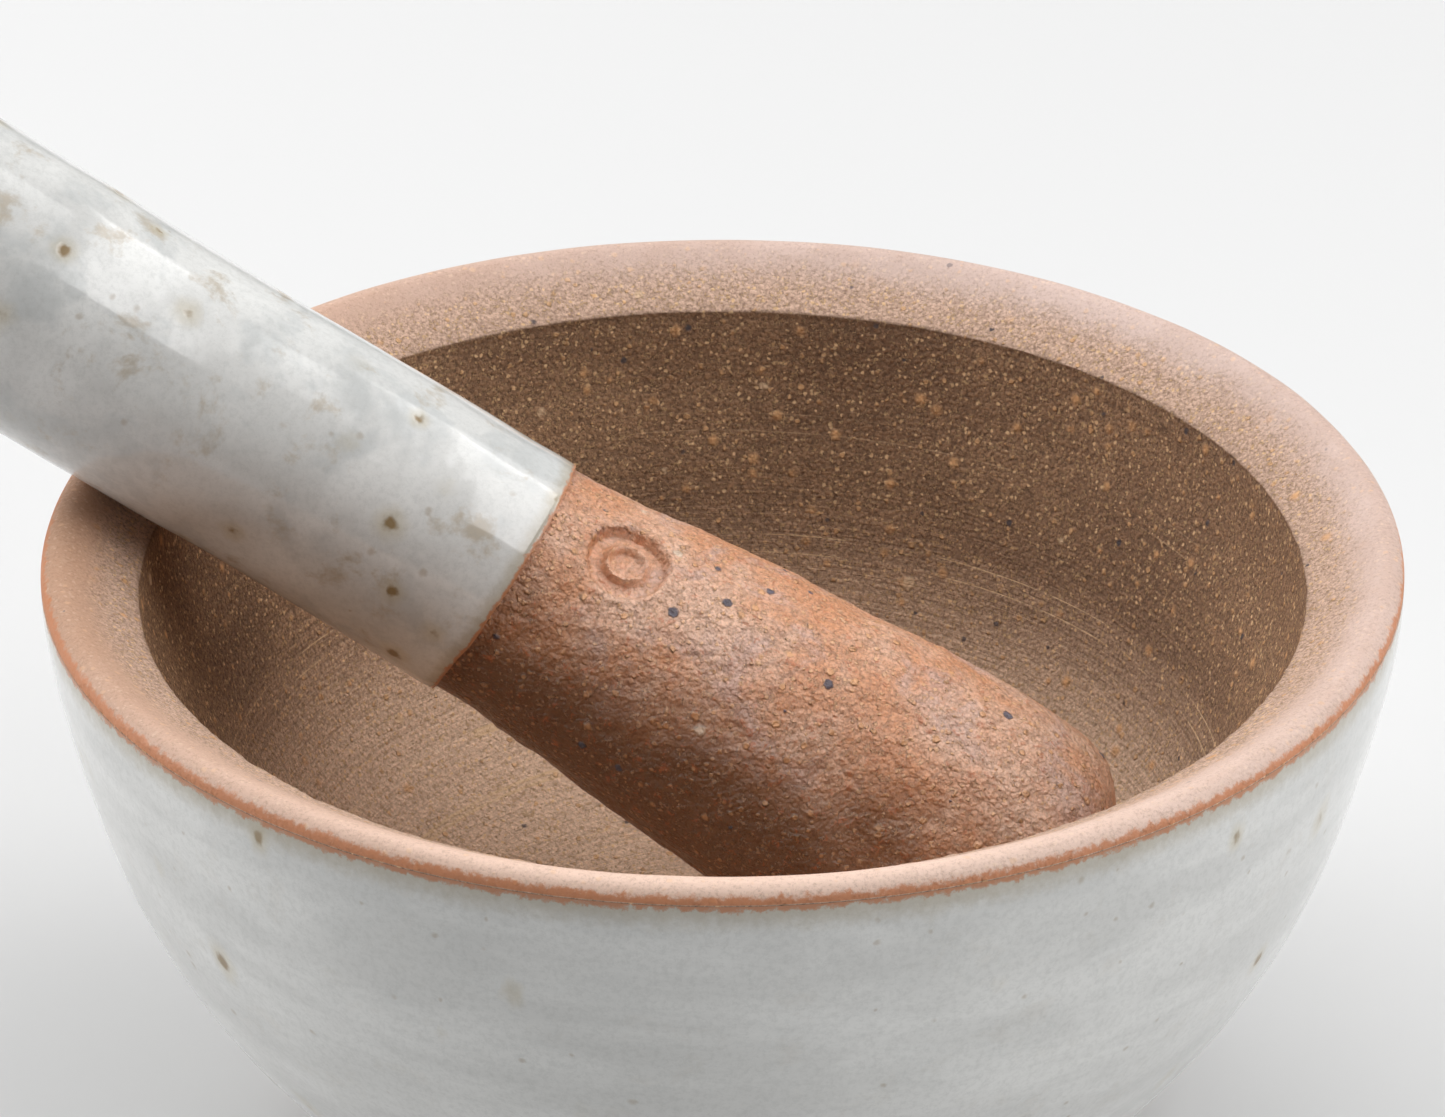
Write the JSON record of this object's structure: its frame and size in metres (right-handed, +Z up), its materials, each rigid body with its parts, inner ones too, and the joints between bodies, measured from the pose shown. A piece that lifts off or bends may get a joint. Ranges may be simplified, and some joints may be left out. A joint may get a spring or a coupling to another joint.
{
  "type": "mortar and pestle",
  "caption": "Hand-thrown stoneware mortar, white glaze outside and bare clay inside, with a solid clay pestle leaning in it; the glazed handle rests on the rim.",
  "frame": {"origin": "centre of the mortar's flat foot, on the surface it stands on", "axes": "+Z up along the mortar's axis; the pestle leans in the XZ plane with its head toward +X and its handle over the rim at -X"},
  "size_m": [0.1763, 0.14, 0.1133],
  "materials": {
    "brown_clay": "matte",
    "orange_clay": "matte",
    "white_glaze": "gloss"
  },
  "bodies": {
    "mortar": {"mortar_body": "brown_clay", "mortar_glaze": "white_glaze"},
    "pestle": {"pestle_body": "orange_clay", "pestle_glaze": "white_glaze"}
  },
  "joints": [
    {"name": "pestle_lift", "type": "slide", "parent": "mortar", "child": "pestle", "axis": [0, 0, 1], "range_m": [0, 0.08]}
  ]
}
